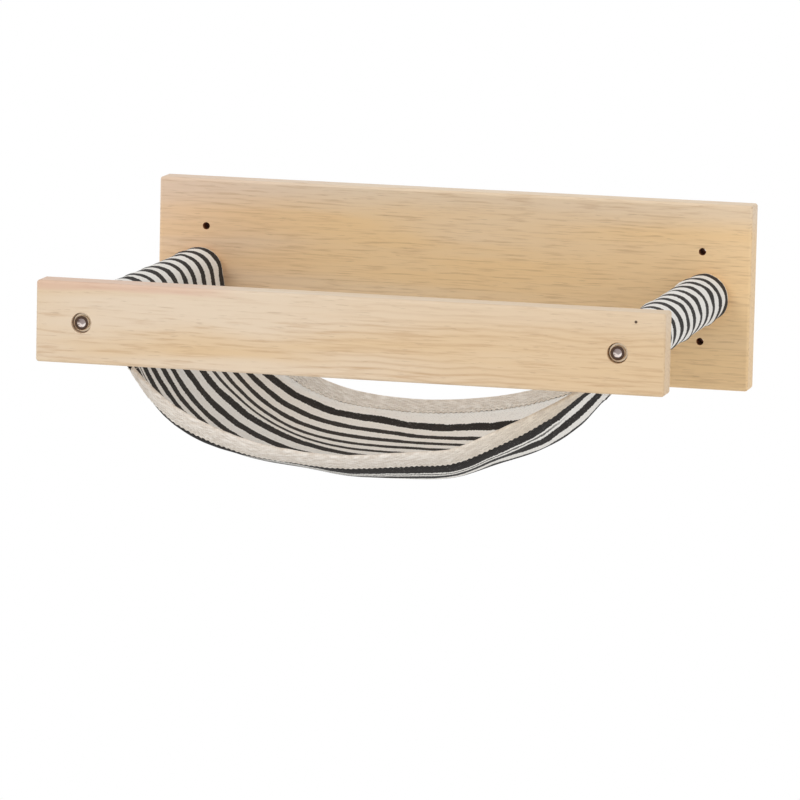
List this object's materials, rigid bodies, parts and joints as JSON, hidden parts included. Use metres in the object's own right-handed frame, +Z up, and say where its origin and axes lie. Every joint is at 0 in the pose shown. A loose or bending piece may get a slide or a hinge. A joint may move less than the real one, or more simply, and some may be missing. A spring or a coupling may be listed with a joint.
{
  "type": "wall-mounted cat hammock",
  "caption": "Wall-mounted cat hammock: a wooden wall board and front rail joined by round rods that carry a striped canvas sling with rod sleeves and tape-bound hems.",
  "frame": {"origin": "middle of the wall board's back face, at the centre of the wall-screw pattern and level with the rods", "axes": "+Z up, +X to the right seen from the front, +Y into the wall; the hammock stands out towards -Y"},
  "size_m": [0.42, 0.31, 0.1663],
  "materials": {
    "board_wood": "clear matt lacquer on pale solid wood",
    "rail_wood": "clear matt lacquer on pale solid wood",
    "rod_wood": "sanded pale solid wood",
    "bolt_steel": "nickel-plated steel",
    "washer_steel": "bright zinc-plated steel",
    "insert_steel": "zinc-plated steel",
    "striped_canvas": "woven cotton canvas, black stripes on off-white",
    "cotton_tape": "natural cotton twill tape"
  },
  "bodies": {
    "frame": {"back_board": "board_wood", "front_rail": "rail_wood", "left_rod": "rod_wood", "right_rod": "rod_wood", "front_left_bolt": "bolt_steel", "front_right_bolt": "bolt_steel", "rear_left_bolt": "bolt_steel", "rear_right_bolt": "bolt_steel", "front_left_washer": "washer_steel", "front_right_washer": "washer_steel", "rear_left_washer": "washer_steel", "rear_right_washer": "washer_steel", "front_left_insert": "insert_steel", "front_right_insert": "insert_steel", "rear_left_insert": "insert_steel", "rear_right_insert": "insert_steel"},
    "sling": {"sling_canvas": "striped_canvas", "front_binding": "cotton_tape", "rear_binding": "cotton_tape"}
  },
  "joints": [
    {"name": "sling_slide", "type": "slide", "parent": "frame", "child": "sling", "axis": [0, 1, 0], "range_m": [-0.0035, 0.0035]}
  ]
}
